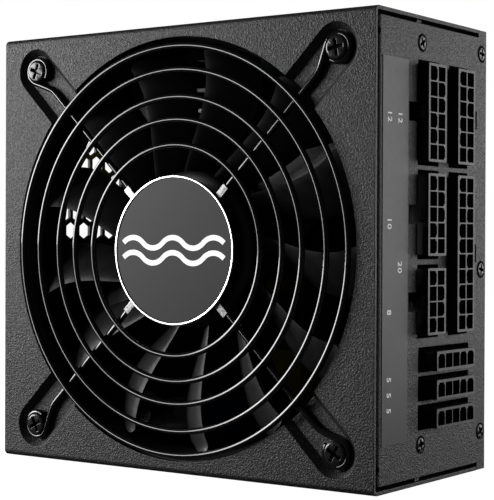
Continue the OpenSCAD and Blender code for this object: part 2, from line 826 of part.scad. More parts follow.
module insulator_sheet() {
    color([0.85, 0.85, 0.8]) difference() {
        translate([board_x0, board_y + board_t + sheet_gap, board_z0 + 1])
            cube([108, 0.4, board_z1 - board_z0 - 2]);
        board_frame() standoff_places() translate([0, 0, -10]) cylinder(r = standoff_r + 0.4, h = 10);
    }
}

module can(r, h) {
    translate([0, 0, gap]) cylinder(r = r, h = h - 0.6);
    translate([0, 0, h - 0.6 + gap]) cylinder(r1 = r, r2 = r - 0.6, h = 0.6);
}

module bulk_capacitors() {
    color([0.1, 0.1, 0.25]) board_frame() for (z = bulk_z) translate([bulk_x, z, 0]) can(bulk_r, bulk_h);
}

module transformer_place() { board_frame() translate([7, 62, 0]) children(); }

module transformer_core() {
    color([0.18, 0.18, 0.18]) transformer_place() difference() {
        translate([-17, -8, 2]) cube([34, 16, 28]);
        for (x = [-13, 4.5]) translate([x, -9, 7]) cube([8.5, 18, 18]);
    }
}

module transformer_winding() {
    color([0.85, 0.75, 0.2]) transformer_place() difference() {
        translate([0, 0, 7.2]) cylinder(r = 12.8, h = 17.6);
        translate([-4.55, -8.05, 0]) cube([9.1, 16.1, 40]);
        for (s = [-1, 1]) translate([s * 17 - 4.1, -8.1, 0]) cube([8.2, 16.2, 40]);
    }
}

module boost_choke_place() { board_frame() translate([-28, 43, 8]) children(); }

module boost_choke_core() {
    color([0.25, 0.3, 0.25]) boost_choke_place() tube(12, 7, -4, 6);
}

module boost_choke_winding() {
    color([0.75, 0.4, 0.2]) boost_choke_place() for (a = [0 : 20 : 300]) rotate([0, 0, a]) difference() {
        translate([5.6, -0.9, -5.4]) cube([7.8, 1.8, 12.8]);
        translate([6.95, -2, -4.05]) cube([5.1, 4, 10.1]);
    }
}

module filter_choke() {
    color([0.2, 0.25, 0.2]) board_frame() translate([-52, 74, 9]) rotate([0, 90, 0]) tube(8.5, 4, -5, 5);
}

module filter_capacitor() {
    color([0.75, 0.7, 0.2]) board_frame() translate([-57, 88, 0]) centred_box([9, 18, 15], [4.5, 9]);
}

module centred_box(size, at) {
    translate([at[0] - size[0] / 2, at[1] - size[1] / 2, gap]) cube(size);
}

module bridge_rectifier() {
    color([0.08, 0.08, 0.08]) board_frame() centred_box([4, 20, 16], [-9.2, 104]);
}

module heatsink(height, long, fins) {
    translate([0, 0, 3]) cube([1.8, long, height]);
    for (i = [0 : fins - 1]) translate([0, (i + 0.5) * long / fins - 0.6, height - 6]) cube([7, 1.2, 9]);
}

module primary_heatsink() {
    color([0.7, 0.71, 0.72]) board_frame() translate([-13.2, 88, 0]) heatsink(30, 30, 5);
}

module secondary_heatsink() {
    color([0.7, 0.71, 0.72]) board_frame() translate([26.2, 36, 0]) heatsink(30, 70, 10);
}

module output_capacitors() {
    color([0.15, 0.12, 0.3]) board_frame() for (x = [34.5, 43], z = [79 : 9 : 106])
        translate([x, z, 0]) can(out_cap_r, out_cap_h);
}

module output_choke() {
    color([0.5, 0.5, 0.2]) board_frame() translate([40, 30, 8]) tube(8, 3.5, -7, 6);
}

module standby_transformer() {
    color([0.8, 0.72, 0.3]) board_frame() centred_box([18, 18, 18], [8, 24]);
}

module fuse() {
    color([0.85, 0.85, 0.82]) board_frame() translate([-40, 10, 2.6]) rotate([0, 90, 0])
        cylinder(r = 2.5, h = 16);
}

module relay() {
    color([0.1, 0.25, 0.45]) board_frame() centred_box([18, 10, 14], [-14, 12]);
}

module mains_wires() {
    color([0.5, 0.3, 0.15]) board_frame() for (z = [17, 31])
        wire([[-40.3, z, 19.2], [-38.5, z, 19.2], [-38.5, z - 3, 12], [-38.5, z - 3, gap]], 0.9);
}

cover();
base();
label_strip();
rating_label();
cover_screws();
bracket_screws();
board_bracket();
grille_rings();
grille_legs();
badge_base();
badge_rim();
badge_face();
badge_emblem();
badge_tabs();
fan_frame();
fan_screws();
fan_rotor();
rotor_magnet();
fan_shaft();
fan_bearing();
fan_stator();
fan_coils();
fan_driver_board();
fan_cable();
inlet_body();
inlet_pins();
switch_body();
switch_rocker();
switch_terminals();
socket_12_way();
socket_10_way();
socket_8_way();
socket_20_way();
drive_sockets();
socket_pins();
modular_board();
bus_bars();
main_board();
standoffs();
board_screws();
insulator_sheet();
bulk_capacitors();
transformer_core();
transformer_winding();
boost_choke_core();
boost_choke_winding();
filter_choke();
filter_capacitor();
bridge_rectifier();
primary_heatsink();
secondary_heatsink();
output_capacitors();
output_choke();
standby_transformer();
fuse();
relay();
mains_wires();
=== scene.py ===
import json
import math

import bpy
from mathutils import Matrix, Vector


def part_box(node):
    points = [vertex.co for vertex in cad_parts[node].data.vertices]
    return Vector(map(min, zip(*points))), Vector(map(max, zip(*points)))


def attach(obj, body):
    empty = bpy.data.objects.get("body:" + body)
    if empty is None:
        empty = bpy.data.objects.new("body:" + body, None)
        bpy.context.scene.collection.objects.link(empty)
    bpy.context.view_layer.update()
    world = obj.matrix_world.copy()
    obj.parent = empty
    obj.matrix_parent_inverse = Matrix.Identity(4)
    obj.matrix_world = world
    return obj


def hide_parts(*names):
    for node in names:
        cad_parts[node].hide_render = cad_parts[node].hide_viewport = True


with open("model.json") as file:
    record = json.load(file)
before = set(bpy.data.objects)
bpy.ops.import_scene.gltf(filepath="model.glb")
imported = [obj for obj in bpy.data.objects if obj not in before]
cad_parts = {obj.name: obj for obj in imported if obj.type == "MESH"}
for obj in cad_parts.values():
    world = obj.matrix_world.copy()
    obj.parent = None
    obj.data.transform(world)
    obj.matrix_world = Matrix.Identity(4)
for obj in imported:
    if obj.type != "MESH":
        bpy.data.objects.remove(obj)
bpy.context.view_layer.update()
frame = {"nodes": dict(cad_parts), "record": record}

MM = 0.001
NODES = frame["nodes"]
SLOT_OF = {row["node"]: row["material_slot"] for row in frame["record"]["subparts"]}

# ---------------------------------------------------------------- places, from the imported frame
COVER_LO, COVER_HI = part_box("cover")
FACE_Y = COVER_LO.y
PANEL_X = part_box("base")[1].x
MID_Z = (COVER_LO.z + COVER_HI.z) / 2
ROTOR_LO, ROTOR_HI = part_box("fan_rotor")
RING_LO, RING_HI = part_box("grille_rings")
LEG_BACK_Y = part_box("grille_legs")[1].y

# The fan face's own frame in millimetres: x right, y up, z out of the face, from the fan's axis.
FACE = Matrix(((MM, 0, 0, 0), (0, 0, -MM, FACE_Y), (0, MM, 0, MID_Z), (0, 0, 0, 1)))
# The socket panel's frame in millimetres: x into the depth from the fan face, y up, z out of the panel.
PANEL = Matrix(((0, 0, MM, PANEL_X), (MM, 0, 0, FACE_Y), (0, MM, 0, 0), (0, 0, 0, 1)))


def face_depth(y_world):
    """Height above the fan face, in millimetres, of a place given by its world Y."""
    return (FACE_Y - y_world) / MM


# ---------------------------------------------------------------- mesh helpers
def new_object(name, verts, faces, place, smooth=True, sharp_angle=40):
    """A mesh object from points in a local frame in millimetres."""
    mesh = bpy.data.meshes.new(name)
    mesh.from_pydata([place @ Vector(v) for v in verts], [], faces)
    mesh.validate()
    if smooth:
        mesh.shade_smooth()
        mesh.set_sharp_from_angle(angle=math.radians(sharp_angle))
    mesh.update()
    obj = bpy.data.objects.new(name, mesh)
    bpy.context.scene.collection.objects.link(obj)
    return obj


def finish_piece(obj, material, body, slot, *stands_for):
    obj.data.materials.append(material)
    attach(obj, body)
    if stands_for:
        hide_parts(*stands_for)


def lathe(profile, steps=128):
    """Points and faces of a closed profile [(r, z), ...] turned about z."""
    verts = []
    faces = []
    count = len(profile)
    for i in range(steps):
        turn = 2 * math.pi * i / steps
        verts += [(r * math.cos(turn), r * math.sin(turn), z) for r, z in profile]
    for i in range(steps):
        a, b = i * count, (i + 1) % steps * count
        for k in range(count):
            n = (k + 1) % count
            faces.append((a + k, b + k, b + n, a + n))
    return verts, faces


def sweep(points, radius, closed=False, sides=16):
    """A round wire along points. Each ring of the tube is square to the path and keeps the same twist."""
    points = [Vector(p) for p in points]
    count = len(points)
    verts = []
    faces = []
    normal = None
    for i, here in enumerate(points):
        before = points[i - 1] if closed or i else here
        after = points[(i + 1) % count] if closed or i < count - 1 else here
        along = (after - before).normalized()
        if normal is None:
            normal = along.orthogonal().normalized()
        normal = (normal - along * normal.dot(along)).normalized()
        other = along.cross(normal)
        for s in range(sides):
            turn = 2 * math.pi * s / sides
            verts.append(here + (normal * math.cos(turn) + other * math.sin(turn)) * radius)
    spans = count if closed else count - 1
    for i in range(spans):
        a, b = i * sides, (i + 1) % count * sides
        for s in range(sides):
            t = (s + 1) % sides
            faces.append((a + s, a + t, b + t, b + s))
    if not closed:
        faces.append(tuple(reversed(range(sides))))
        faces.append(tuple((count - 1) * sides + s for s in range(sides)))
    return verts, faces


def joined(parts):
    """One list of points and faces from many."""
    verts = []
    faces = []
    for part_verts, part_faces in parts:
        base = len(verts)
        verts += list(part_verts)
        faces += [tuple(base + i for i in face) for face in part_faces]
    return verts, faces


def turned(part, degrees):
    """The same points turned about z."""
    turn = Matrix.Rotation(math.radians(degrees), 3, "Z")
    return [turn @ Vector(v) for v in part[0]], part[1]


def circle(radius, z, steps):
    return [(radius * math.cos(2 * math.pi * i / steps), radius * math.sin(2 * math.pi * i / steps), z)
            for i in range(steps)]


# ---------------------------------------------------------------- materials
class Shader:
    """A node material. Textures use object coordinates, which are the row frame in metres."""

    def __init__(self, name, **inputs):
        self.material = bpy.data.materials.new(name)
        self.material.use_nodes = True
        self.tree = self.material.node_tree
        self.surface = self.tree.nodes["Principled BSDF"]
        self.coordinates = self.node("ShaderNodeTexCoord").outputs["Object"]
        for key, value in inputs.items():
            self.set(key.replace("_", " "), value)

    def node(self, kind, **settings):
        made = self.tree.nodes.new(kind)
        for key, value in settings.items():
            setattr(made, key, value)
        return made

    def set(self, name, value):
        socket = self.surface.inputs[name]
        if isinstance(value, bpy.types.NodeSocket):
            self.tree.links.new(value, socket)
        elif isinstance(value, tuple):
            socket.default_value = (*value, 1.0)
        else:
            socket.default_value = value

    def feed(self, made, values):
        for key, value in values.items():
            socket = made.inputs[key]
            if isinstance(value, bpy.types.NodeSocket):
                self.tree.links.new(value, socket)
            else:
                socket.default_value = value
        return made

    def noise(self, size_mm, detail=3.0, roughness=0.55, stretch=(1, 1, 1)):
        """Noise whose grains are about size_mm across."""
        mapping = self.feed(self.node("ShaderNodeMapping"), {"Vector": self.coordinates, "Scale": stretch})
        values = {"Vector": mapping.outputs[0], "Scale": 1 / (size_mm * MM),
                  "Detail": detail, "Roughness": roughness}
        return self.feed(self.node("ShaderNodeTexNoise"), values).outputs["Fac"]

    def remap(self, value, low, high, new_low, new_high):
        values = {"Value": value, "From Min": low, "From Max": high, "To Min": new_low, "To Max": new_high}
        return self.feed(self.node("ShaderNodeMapRange"), values).outputs["Result"]

    def mix(self, factor, first, second):
        made = self.feed(self.node("ShaderNodeMix", data_type="RGBA"), {"Factor": factor})
        for socket, value in ((made.inputs[6], first), (made.inputs[7], second)):
            if isinstance(value, bpy.types.NodeSocket):
                self.tree.links.new(value, socket)
            else:
                socket.default_value = (*value, 1.0)
        return made.outputs[2]

    def bump(self, height, depth_mm, strength=1.0, onto=None):
        values = {"Height": height, "Distance": depth_mm * MM, "Strength": strength}
        if onto is not None:
            values["Normal"] = onto
        return self.feed(self.node("ShaderNodeBump"), values).outputs["Normal"]

    def round_edges(self, radius_mm):
        """The normal of the surface with its sharp edges rounded over, as thick paint does."""
        made = self.node("ShaderNodeBevel", samples=8)
        return self.feed(made, {"Radius": radius_mm * MM}).outputs["Normal"]


def grey(value):
    return (value, value, value)


def powder_coat():
    """Matte black powder coat: a coarse grain of flowed powder with fine pits."""
    s = Shader("powder_coat", Specular_IOR_Level=0.5)
    grain = s.noise(0.40, 2.0, 0.5)
    fine = s.noise(0.22, 2.0, 0.6)
    contrast = s.remap(grain, 0.38, 0.62, 0.0, 1.0)
    s.set("Base Color", s.mix(contrast, (0.002, 0.002, 0.002), (0.038, 0.038, 0.039)))
    s.set("Roughness", s.remap(grain, 0.35, 0.65, 0.52, 0.34))
    coarse = s.bump(grain, 0.22, 1.0, s.round_edges(0.3))
    s.set("Normal", s.bump(fine, 0.05, 0.8, coarse))
    return s.material


def smooth_label():
    s = Shader("label_film", Specular_IOR_Level=0.5)
    s.set("Base Color", s.mix(s.noise(6.0), (0.030, 0.030, 0.031), (0.036, 0.036, 0.037)))
    s.set("Roughness", s.remap(s.noise(0.9), 0.3, 0.7, 0.40, 0.46))
    s.set("Normal", s.bump(s.noise(0.25, 2.0), 0.012, 0.4))
    return s.material


def black_steel():
    """Black-finished screw steel: glossy, with a little bright wear."""
    s = Shader("black_steel", Metallic=0.35, Specular_IOR_Level=0.7)
    wear = s.remap(s.noise(0.9, 4.0), 0.58, 0.75, 0.0, 0.35)
    s.set("Base Color", s.mix(wear, (0.020, 0.020, 0.021), (0.16, 0.16, 0.165)))
    s.set("Roughness", s.remap(s.noise(0.5), 0.3, 0.7, 0.16, 0.30))
    s.set("Normal", s.bump(s.noise(0.45), 0.02, 0.4))
    return s.material


def plated_steel():
    s = Shader("plated_steel", Metallic=1.0)
    s.set("Base Color", s.mix(s.noise(2.0), (0.52, 0.52, 0.54), (0.70, 0.70, 0.71)))
    s.set("Roughness", s.remap(s.noise(0.6, 4.0), 0.3, 0.7, 0.22, 0.42))
    s.set("Normal", s.bump(s.noise(0.4, stretch=(1, 1, 8)), 0.01, 0.3))
    return s.material


def gloss_wire():
    s = Shader("gloss_black_enamel", Specular_IOR_Level=0.6)
    s.set("Base Color", s.mix(s.noise(1.5), (0.004, 0.004, 0.004), (0.007, 0.007, 0.007)))
    s.set("Roughness", s.remap(s.noise(0.8), 0.3, 0.7, 0.05, 0.09))
    s.set("Normal", s.bump(s.noise(1.6, 2.0), 0.02, 0.2))
    return s.material


def moulded_plastic(name, low, high, rough_low, rough_high, bump_mm=0.02):
    s = Shader(name, Specular_IOR_Level=0.5)
    s.set("Base Color", s.mix(s.noise(3.0), grey(low), grey(high)))
    s.set("Roughness", s.remap(s.noise(0.8), 0.3, 0.7, rough_low, rough_high))
    s.set("Normal", s.bump(s.noise(0.30, 2.0), bump_mm, 0.4))
    return s.material


def polished_aluminium():
    s = Shader("polished_aluminium", Metallic=1.0)
    s.set("Base Color", s.mix(s.noise(3.0), (0.55, 0.55, 0.56), (0.66, 0.66, 0.67)))
    s.set("Roughness", s.remap(s.noise(0.8), 0.3, 0.7, 0.16, 0.26))
    s.set("Normal", s.bump(s.noise(0.6), 0.01, 0.2))
    return s.material


def satin_aluminium():
    """Bead-blasted disc: an even grey with a very fine grain."""
    s = Shader("satin_aluminium", Metallic=0.4)
    s.set("Base Color", s.mix(s.noise(0.35, 4.0), (0.036, 0.036, 0.037), (0.044, 0.044, 0.045)))
    s.set("Roughness", s.remap(s.noise(0.3), 0.3, 0.7, 0.42, 0.50))
    s.set("Normal", s.bump(s.noise(0.18, 2.0), 0.006, 0.4))
    return s.material


def white_print():
    # The emission is a painted glow: the white print gives off light of its own, so it shows brighter than
    # the lamps alone make it.
    s = Shader("white_print", Roughness=0.45, Specular_IOR_Level=0.4,
               Emission_Color=grey(1.0), Emission_Strength=0.30)
    s.set("Base Color", s.mix(s.noise(0.5), (0.88, 0.88, 0.88), (0.95, 0.95, 0.95)))
    s.set("Normal", s.bump(s.noise(0.2), 0.005, 0.3))
    return s.material


def ferrite():
    s = Shader("ferrite")
    s.set("Base Color", s.mix(s.noise(0.6, 5.0), (0.035, 0.037, 0.036), (0.10, 0.105, 0.10)))
    s.set("Roughness", s.remap(s.noise(0.5), 0.3, 0.7, 0.45, 0.75))
    s.set("Normal", s.bump(s.noise(0.35, 5.0), 0.05, 0.5))
    return s.material


def metal(name, low, high, rough_low, rough_high, grain=(1, 1, 10)):
    s = Shader(name, Metallic=1.0)
    s.set("Base Color", s.mix(s.noise(1.2, stretch=grain), low, high))
    s.set("Roughness", s.remap(s.noise(0.5, stretch=grain), 0.3, 0.7, rough_low, rough_high))
    s.set("Normal", s.bump(s.noise(0.3, stretch=grain), 0.01, 0.35))
    return s.material


def circuit_board():
    """Solder mask over copper: tracks show as slightly raised, lighter bands."""
    s = Shader("circuit_board", Specular_IOR_Level=0.5, Coat_Weight=0.3)
    tracks = s.feed(s.node("ShaderNodeTexBrick", offset=0.37),
                    {"Vector": s.coordinates, "Scale": 90.0, "Mortar Size": 0.03, "Mortar Smooth": 0.1})
    s.set("Base Color", s.mix(tracks.outputs["Fac"], (0.010, 0.055, 0.026), (0.022, 0.11, 0.05)))
    s.set("Roughness", s.remap(s.noise(1.0), 0.3, 0.7, 0.25, 0.4))
    s.set("Normal", s.bump(tracks.outputs["Fac"], 0.05, 0.5))
    return s.material


def tinted(name, low, high, rough_low, rough_high, grain_mm=1.0, bump_mm=0.03):
    s = Shader(name, Metallic=0.0)
    s.set("Base Color", s.mix(s.noise(grain_mm * 3), low, high))
    s.set("Roughness", s.remap(s.noise(grain_mm), 0.3, 0.7, rough_low, rough_high))
    s.set("Normal", s.bump(s.noise(grain_mm), bump_mm, 0.4))
    return s.material


MATERIALS = {
    "black_powder_coat": powder_coat(),
    "smooth_black_label": smooth_label(),
    "black_steel": black_steel(),
    "plated_steel": plated_steel(),
    "gloss_black_wire": gloss_wire(),
    "black_plastic": moulded_plastic("black_plastic", 0.010, 0.015, 0.34, 0.46),
    "gloss_black_plastic": moulded_plastic("gloss_black_plastic", 0.018, 0.026, 0.42, 0.52, 0.02),
    "polished_aluminium": polished_aluminium(),
    "satin_aluminium": satin_aluminium(),
    "white_print": white_print(),
    "dark_ferrite": ferrite(),
    "brass": metal("brass", (0.62, 0.47, 0.20), (0.75, 0.60, 0.30), 0.25, 0.4),
    "copper": metal("enamelled_copper", (0.55, 0.22, 0.10), (0.75, 0.35, 0.18), 0.18, 0.3),
    "circuit_board": circuit_board(),
    "light_insulation": tinted("light_insulation", (0.55, 0.54, 0.50), (0.68, 0.67, 0.63), 0.4, 0.55),
    "capacitor_sleeve": tinted("capacitor_sleeve", (0.010, 0.011, 0.022), (0.02, 0.02, 0.04), 0.18, 0.3),
    "yellow_tape": tinted("yellow_tape", (0.50, 0.38, 0.06), (0.65, 0.50, 0.10), 0.3, 0.45),
    "plain_aluminium": metal("extruded_aluminium", (0.20, 0.20, 0.21), (0.34, 0.34, 0.35), 0.35, 0.5),
    "blue_plastic": tinted("blue_plastic", (0.02, 0.06, 0.16), (0.03, 0.08, 0.20), 0.35, 0.5),
}


# ---------------------------------------------------------------- CAD nodes: finish and softened edges
CREASE = math.radians(35)


def smooth_by_angle():
    """A node group that shades smooth and keeps edges over the crease angle sharp."""
    group = bpy.data.node_groups.new("smooth_by_angle", "GeometryNodeTree")
    group.interface.new_socket("Geometry", in_out="INPUT", socket_type="NodeSocketGeometry")
    group.interface.new_socket("Geometry", in_out="OUTPUT", socket_type="NodeSocketGeometry")
    start = group.nodes.new("NodeGroupInput")
    end = group.nodes.new("NodeGroupOutput")
    faces = group.nodes.new("GeometryNodeSetShadeSmooth")
    edges = group.nodes.new("GeometryNodeSetShadeSmooth")
    edges.domain = "EDGE"
    edges.inputs["Shade Smooth"].default_value = False
    angle = group.nodes.new("GeometryNodeInputMeshEdgeAngle")
    over = group.nodes.new("FunctionNodeCompare")
    over.inputs["B"].default_value = CREASE
    group.links.new(angle.outputs["Unsigned Angle"], over.inputs["A"])
    group.links.new(start.outputs[0], faces.inputs["Geometry"])
    group.links.new(faces.outputs[0], edges.inputs["Geometry"])
    group.links.new(over.outputs[0], edges.inputs["Selection"])
    group.links.new(edges.outputs[0], end.inputs[0])
    return group


SMOOTH = smooth_by_angle()


def soften(obj, width_mm, segments=2):
    """Joins the mesh's split corners, rounds its sharp edges a little, and keeps flats flat."""
    old = obj.data.attributes.get("custom_normal")
    if old is not None:
        obj.data.attributes.remove(old)
    weld = obj.modifiers.new("weld", "WELD")
    weld.merge_threshold = 0.002 * MM
    bevel = obj.modifiers.new("bevel", "BEVEL")
    bevel.width = width_mm * MM
    bevel.segments = segments
    bevel.limit_method = "ANGLE"
    bevel.angle_limit = CREASE
    bevel.use_clamp_overlap = False
    bevel.miter_outer = "MITER_ARC"
    group = obj.modifiers.new("smooth", "NODES")
    group.node_group = SMOOTH
    weighted = obj.modifiers.new("weighted", "WEIGHTED_NORMAL")
    weighted.keep_sharp = True
    weighted.weight = 80


# Width of each node's rounded edges, in millimetres. The cover, the base and the sockets keep the
# edges they have, because a bevel breaks faces with that many holes.
BEVELS = {
    "label_strip": 0.03, "rating_label": 0.03, "cover_screws": 0.06,
    "bracket_screws": 0.06, "board_bracket": 0.15, "badge_base": 0.2, "badge_rim": 0.14, "badge_face": 0.05,
    "badge_tabs": 0.1, "fan_frame": 0.3, "fan_screws": 0.12, "inlet_body": 0.25, "inlet_pins": 0.3,
    "switch_body": 0.2, "switch_rocker": 0.25, "switch_terminals": 0.1,
    "bus_bars": 0.2, "bulk_capacitors": 0.4, "transformer_core": 0.3, "filter_capacitor": 0.5,
    "bridge_rectifier": 0.3, "primary_heatsink": 0.15, "secondary_heatsink": 0.15, "output_capacitors": 0.3,
    "standby_transformer": 0.5, "relay": 0.4, "boost_choke_core": 0.8, "filter_choke": 0.8,
    "output_choke": 0.8,
}

for name, obj in NODES.items():
    obj.data.materials.clear()
    obj.data.materials.append(MATERIALS[SLOT_OF[name]])
    if name in BEVELS:
        soften(obj, BEVELS[name])


# ---------------------------------------------------------------- fan rotor
BLADES = 13
HUB_R = 22.0
TIP_R = 56.95
FRONT = face_depth(ROTOR_LO.y)
BACK = face_depth(ROTOR_HI.y)
BLADE_PHASE = 178.0
BLADE_RUN = 34
TIP_CORNER = 2.2
HUB_CAP = 1.5
HUB_SKIN = 1.2


def tip_corner(r):
    """0 along the blade, rising to 1 at the very tip."""
    return max(0.0, (r - TIP_R + TIP_CORNER) / TIP_CORNER)


def lead_angle(r):
    """The front edge sweeps back from the hub and straightens towards the tip."""
    sweep_back = -12.6 * (1 - ((46 - r) / 24) ** 2)
    return sweep_back - 2.6 * tip_corner(r) ** 2.5


def blade_span(r):
    """Angle from the front edge to the back edge."""
    return 13.5 + 5.0 * (TIP_R - r) / BLADE_RUN - 3.6 * tip_corner(r) ** 2.5


def blade_point(r, t, side):
    """A point on the blade: t runs from front edge to back edge, side is +1 for the front skin."""
    turn = math.radians(lead_angle(r) - blade_span(r) * t)
    front = FRONT - 0.9 - 1.3 * (TIP_R - r) / BLADE_RUN
    depth = front + (BACK + 0.3 - front) * t ** 1.3
    half = 0.72 * math.sin(math.pi * min(1.0, 0.06 + 0.94 * t) ** 0.6) ** 0.6
    half = 0.10 + half * (1.0 - 0.35 * (r - HUB_R) / 35)
    return r * math.cos(turn), r * math.sin(turn), depth + side * half


def blade(radial=26, across=14):
    """One closed, curved blade."""
    root = HUB_R - 1.0
    radii = [root + (TIP_R - HUB_R + 1.0) * (1 - (1 - i / radial) ** 1.25) for i in range(radial + 1)]
    verts = []
    for side in (1, -1):
        for r in radii:
            verts += [blade_point(r, k / across, side) for k in range(across + 1)]
    row = across + 1
    skin = row * (radial + 1)
    faces = []
    for i in range(radial):
        for k in range(across):
            a = i * row + k
            faces.append((a, a + 1, a + row + 1, a + row))
            faces.append((skin + a, skin + a + row, skin + a + row + 1, skin + a + 1))
        for k in (0, across):
            a = i * row + k
            edge = (a, a + row, skin + a + row, skin + a)
            faces.append(edge if k == 0 else tuple(reversed(edge)))
    for k in range(across):
        tip = radial * row + k
        faces.append((tip, tip + 1, skin + tip + 1, skin + tip))
        faces.append((k + 1, k, skin + k, skin + k + 1))
    return verts, faces


def rotor_moulding():
    """The hub and its blades in one moulding."""
    hub = [(0.02, FRONT), (19.6, FRONT), (20.9, FRONT - 0.25), (21.7, FRONT - 0.9), (HUB_R, FRONT - 2.0),
           (HUB_R, BACK), (HUB_R - HUB_SKIN, BACK), (HUB_R - HUB_SKIN, FRONT - HUB_CAP),
           (0.02, FRONT - HUB_CAP)]
    parts = [lathe(hub)]
    one = blade()
    for i in range(BLADES):
        parts.append(turned(one, BLADE_PHASE + i * 360 / BLADES))
    obj = new_object("fan_rotor_moulding", *joined(parts), FACE, sharp_angle=50)
    finish_piece(obj, MATERIALS["gloss_black_plastic"], "rotor", "gloss_black_plastic", "fan_rotor")


# ---------------------------------------------------------------- wire grille
WIRE_R = (RING_LO.y - RING_HI.y) / -2 / MM
RING_LEVEL = face_depth((RING_LO.y + RING_HI.y) / 2)
RING_OUTER = (RING_HI.x - RING_LO.x) / 2 / MM - WIRE_R
RING_STEPS = (0, 6.6, 14.15, 20.45, 27.5)
RING_DROP = (RING_HI.z + RING_LO.z) / 2 - MID_Z
LEG_LEVEL = face_depth(LEG_BACK_Y) + WIRE_R * 1.03
SCREW_REACH = 52.5 * math.sqrt(2)
HOOK_R = 3.6
HOOK_TURN = 285
LEG_BEND = 66.0
LEG_START = 12.0
BEND_REACH = 2.2


def leg_path():
    """Centre line of one leg along x, with a hook round the screw."""
    reach = SCREW_REACH - LEG_BEND
    lean = math.asin(HOOK_R / reach)
    points = [Vector((LEG_START + i * 2, 0, 0)) for i in range(26)]
    bend = Vector((LEG_BEND, 0, 0))
    start = bend - Vector((BEND_REACH, 0, 0))
    touch = Vector((SCREW_REACH - HOOK_R * math.sin(lean), HOOK_R * math.cos(lean), 0))
    away = bend + (touch - bend).normalized() * BEND_REACH
    for i in range(9):
        t = i / 8
        points.append(start * (1 - t) ** 2 + bend * 2 * t * (1 - t) + away * t * t)
    points += [away.lerp(touch, t / 3) for t in range(1, 3)]
    first = 90 + math.degrees(lean)
    for i in range(58):
        turn = math.radians(first - HOOK_TURN * i / 57)
        points.append(Vector((SCREW_REACH + HOOK_R * math.cos(turn), HOOK_R * math.sin(turn), 0)))
    return [p + Vector((0, 0, LEG_LEVEL)) for p in points]


def wire_grille():
    """Five rings, and four legs that hook round the fan screws."""
    rings = [sweep(circle(RING_OUTER - step, RING_LEVEL, 160), WIRE_R, closed=True) for step in RING_STEPS]
    place = Matrix.Translation((0, 0, RING_DROP)) @ FACE
    obj = new_object("wire_rings", *joined(rings), place, sharp_angle=80)
    finish_piece(obj, MATERIALS["gloss_black_wire"], "housing", "gloss_black_wire", "grille_rings")
    leg = sweep(leg_path(), WIRE_R)
    legs = [turned(leg, a) for a in (45, 135, 225, 315)]
    obj = new_object("wire_legs", *joined(legs), FACE, sharp_angle=80)
    finish_piece(obj, MATERIALS["gloss_black_wire"], "housing", "gloss_black_wire", "grille_legs")


# ---------------------------------------------------------------- printed marks
PRINT_UP = 0.02
STRIP_TOP = (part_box("label_strip")[1].x - PANEL_X) / MM
NUMBER_SIZE = 2.9
# The number of contacts of each socket, with its place on the panel.
WAY_COUNTS = (("12", 7.3, 97.2), ("12", 12.7, 97.2), ("10", 7.3, 69.6), ("20", 12.7, 58.2), ("8", 7.3, 46.6),
              ("5", 7.3, 29.2), ("5", 7.3, 25.2), ("5", 7.3, 21.2))


def letter_shapes(text, size, place):
    """Points and faces of a printed number, laid out by a local matrix in millimetres."""
    curve = bpy.data.curves.new("print", "FONT")
    curve.body = text
    curve.size = size
    curve.extrude = 0.01
    curve.offset = 0.03
    curve.align_x = "CENTER"
    curve.align_y = "CENTER"
    curve.space_character = 1.15
    holder = bpy.data.objects.new("print", curve)
    mesh = bpy.data.meshes.new_from_object(holder)
    verts = [place @ v.co for v in mesh.vertices]
    faces = [tuple(f.vertices) for f in mesh.polygons]
    bpy.data.objects.remove(holder)
    bpy.data.meshes.remove(mesh)
    bpy.data.curves.remove(curve)
    return verts, faces


def socket_numbers():
    """The number of contacts of each socket, printed along the strip and read from top to bottom."""
    parts = []
    for text, x, y in WAY_COUNTS:
        place = Matrix.Translation((x, y, STRIP_TOP + PRINT_UP)) @ Matrix.Rotation(math.radians(-90), 4, "Z")
        parts.append(letter_shapes(text, NUMBER_SIZE, place))
    obj = new_object("socket_numbers", *joined(parts), PANEL, smooth=False)
    finish_piece(obj, MATERIALS["white_print"], "housing", "white_print")


ROCKER_PIVOT = Vector((-0.0635, 0.003, 0.051))
ROCKER_TILT = math.radians(-10)
ROCKER_DISH_R = 21.9
ROCKER_DISH_UP = 24.0
MARK_REACH = 4.2


def rocker_marks():
    """A bar and a ring, the usual on and off marks, printed on the two ends of the rocker."""
    frame_in = Matrix(((0, 0, -MM, ROCKER_PIVOT.x), (-MM, 0, 0, ROCKER_PIVOT.y), (0, MM, 0, ROCKER_PIVOT.z),
                       (0, 0, 0, 1))) @ Matrix.Rotation(ROCKER_TILT, 4, "X")
    rise = math.sqrt(ROCKER_DISH_R ** 2 - MARK_REACH ** 2)
    bar = [(x, y, z) for z in (0.02, 0.05) for x, y in ((-0.2, -1.1), (0.2, -1.1), (0.2, 1.1), (-0.2, 1.1))]
    bar_faces = [(3, 2, 1, 0), (4, 5, 6, 7), (0, 1, 5, 4), (1, 2, 6, 5), (2, 3, 7, 6), (3, 0, 4, 7)]
    ring = lathe([(0.75, 0.02), (1.1, 0.02), (1.1, 0.05), (0.75, 0.05)], 40)
    parts = []
    for side, (verts, faces) in ((1, (bar, bar_faces)), (-1, ring)):
        lean = Matrix.Rotation(side * math.asin(MARK_REACH / ROCKER_DISH_R), 4, "X")
        place = Matrix.Translation((0, side * MARK_REACH, ROCKER_DISH_UP - rise)) @ lean
        parts.append(([place @ Vector(v) for v in verts], faces))
    obj = new_object("rocker_marks", *joined(parts), frame_in, smooth=False)
    finish_piece(obj, MATERIALS["white_print"], "rocker", "white_print")


rotor_moulding()
wire_grille()
socket_numbers()
rocker_marks()


